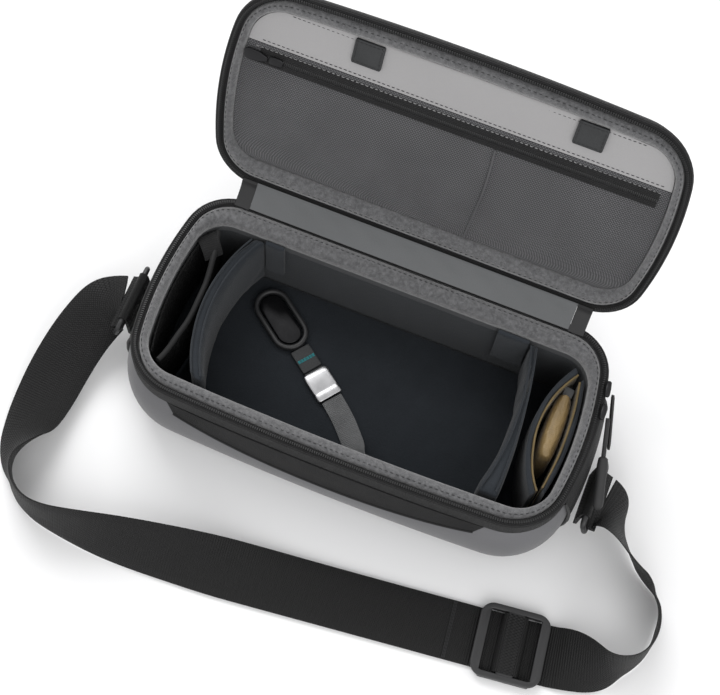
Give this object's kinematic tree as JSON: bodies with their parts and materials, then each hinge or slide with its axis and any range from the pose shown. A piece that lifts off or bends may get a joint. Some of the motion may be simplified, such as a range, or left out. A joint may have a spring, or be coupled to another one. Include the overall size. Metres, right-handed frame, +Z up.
{
  "type": "camera sling bag",
  "caption": "Hard-shell camera sling bag with its lid open on the back hinge, padded dividers, lid pockets, key leash and shoulder strap.",
  "frame": {"origin": "centre of the flat base, on the surface it stands on", "axes": "+X along the bag's length to its right end, +Y to the hinge side, +Z up"},
  "size_m": [0.524, 0.3812, 0.251],
  "materials": {
    "shell_fabric": "smooth coated",
    "rim_tape": "ribbed",
    "felt": "heathered felt",
    "lining": "soft nap",
    "lining_grey": "smooth",
    "mesh": "open net",
    "gusset": "smooth",
    "gusset_black": "smooth",
    "divider_fabric": "soft nap",
    "mustard_lining": "woven",
    "pouch_fabric": "satin",
    "webbing": "woven",
    "leash_webbing": "woven heather",
    "cord": "braided",
    "zip_plastic": "matte",
    "ring_plastic": "satin",
    "zip_metal": "satin",
    "ferrule_steel": "brushed",
    "tab_leather": "matte",
    "grip_rubber": "matte"
  },
  "bodies": {
    "case": {"body_shell": "shell_fabric", "body_wall_padding": "lining", "floor_pad": "lining", "body_felt_binding": "felt", "body_rim_band": "rim_tape", "body_zip_chain": "zip_plastic", "front_pocket_panel": "rim_tape", "end_panel_left": "rim_tape", "end_panel_right": "rim_tape", "ring_tab_left": "webbing", "ring_tab_right": "webbing", "mesh_end_pocket": "mesh", "accessory_sleeve": "divider_fabric", "sleeve_lining": "mustard_lining", "leash_webbing": "leash_webbing", "leash_ferrule": "ferrule_steel", "hinge_gusset": "gusset", "hinge_band": "gusset_black", "gusset_corner_left": "gusset_black", "gusset_corner_right": "gusset_black", "strap_left": "webbing", "strap_right": "webbing"},
    "lid": {"lid_shell": "shell_fabric", "lid_wall_padding": "lining", "lid_felt_binding": "felt", "lid_rim_band": "rim_tape", "lid_zip_chain": "zip_plastic", "lid_panel": "lining_grey", "lid_mesh_pocket": "mesh", "lid_pocket_zip_chain": "zip_plastic", "lid_tab_left": "tab_leather", "lid_tab_right": "tab_leather"},
    "lid_slider": {"lid_pocket_slider": "zip_metal"},
    "lid_pull": {"lid_pocket_pull": "zip_metal"},
    "slider_front": {"zip_slider_front": "zip_metal"},
    "puller_front": {"puller_cord": "cord", "puller_grip": "grip_rubber"},
    "slider_rear": {"zip_slider_rear": "zip_metal"},
    "puller_rear": {"puller_tab": "grip_rubber"},
    "ring_left": {"strap_ring_left": "ring_plastic", "strap_fold_left": "webbing"},
    "ring_right": {"strap_ring_right": "ring_plastic", "strap_fold_right": "webbing"},
    "adjuster": {"strap_adjuster": "ring_plastic", "adjuster_loop": "webbing"},
    "divider_l": {"divider_left": "divider_fabric"},
    "divider_r": {"divider_right": "divider_fabric"},
    "pouch_body": {"pouch": "pouch_fabric", "pouch_tab": "gusset"},
    "hook": {"leash_tab": "tab_leather", "leash_hook": "ring_plastic"},
    "hook_gate": {"leash_gate": "zip_metal"}
  },
  "joints": [
    {"name": "lid_hinge", "type": "hinge", "parent": "case", "child": "lid", "pos_m": [0, 0.0885, 0.095], "axis": [1, 0, 0], "range_deg": [0, 117], "deforming": ["hinge_gusset", "hinge_band", "gusset_corner_left", "gusset_corner_right"]},
    {"name": "lid_zip_slide", "type": "slide", "parent": "lid", "child": "lid_slider", "axis": [1, 0, 0], "range_m": [0, 0.25]},
    {"name": "lid_pull_flip", "type": "hinge", "parent": "lid_slider", "child": "lid_pull", "pos_m": [-0.1404, 0.14192, 0.19741], "axis": [0, -0.454, -0.891], "range_deg": [-90, 0]},
    {"name": "zip_front_run", "type": "hinge", "parent": "case", "child": "slider_front", "pos_m": [-0.10167, 0, 0.094], "axis": [0, 0, -1], "range_deg": [0, 13]},
    {"name": "puller_front_swing", "type": "hinge", "parent": "slider_front", "child": "puller_front", "pos_m": [0.17717, 0.02154, 0.0925], "axis": [0, 1, 0], "range_deg": [-60, 0]},
    {"name": "zip_rear_run", "type": "hinge", "parent": "case", "child": "slider_rear", "pos_m": [-0.10167, 0, 0.094], "axis": [0, 0, 1], "range_deg": [0, 1.5]},
    {"name": "puller_rear_swing", "type": "hinge", "parent": "slider_rear", "child": "puller_rear", "pos_m": [0.17512, 0.04, 0.0925], "axis": [0, 1, 0], "range_deg": [-50, 0]},
    {"name": "ring_left_swing", "type": "hinge", "parent": "case", "child": "ring_left", "pos_m": [-0.1886, -0.01, 0.054], "axis": [0, 1, 0], "range_deg": [0, 60], "deforming": ["strap_left"]},
    {"name": "ring_right_swing", "type": "hinge", "parent": "case", "child": "ring_right", "pos_m": [0.1886, -0.022, 0.054], "axis": [0, -1, 0], "range_deg": [0, 60], "deforming": ["strap_right"]},
    {"name": "adjuster_slide", "type": "slide", "parent": "case", "child": "adjuster", "axis": [-0.993, -0.118, 0], "range_m": [0, 0.06]},
    {"name": "divider_left_lift", "type": "slide", "parent": "case", "child": "divider_l", "axis": [0, 0, -1], "range_m": [-0.08, 0]},
    {"name": "divider_right_lift", "type": "slide", "parent": "case", "child": "divider_r", "axis": [0, 0, -1], "range_m": [-0.08, 0]},
    {"name": "pouch_lift", "type": "slide", "parent": "case", "child": "pouch_body", "axis": [0, 0, -1], "range_m": [-0.1, 0]},
    {"name": "hook_fold", "type": "hinge", "parent": "case", "child": "hook", "pos_m": [-0.04356, -0.00008, 0.0197], "axis": [-0.6, -0.8, 0], "range_deg": [-70, 0]},
    {"name": "gate_open", "type": "hinge", "parent": "hook", "child": "hook_gate", "pos_m": [-0.0654, 0.0163, 0.0204], "axis": [-0.6, -0.8, 0], "range_deg": [-45, 0]}
  ]
}
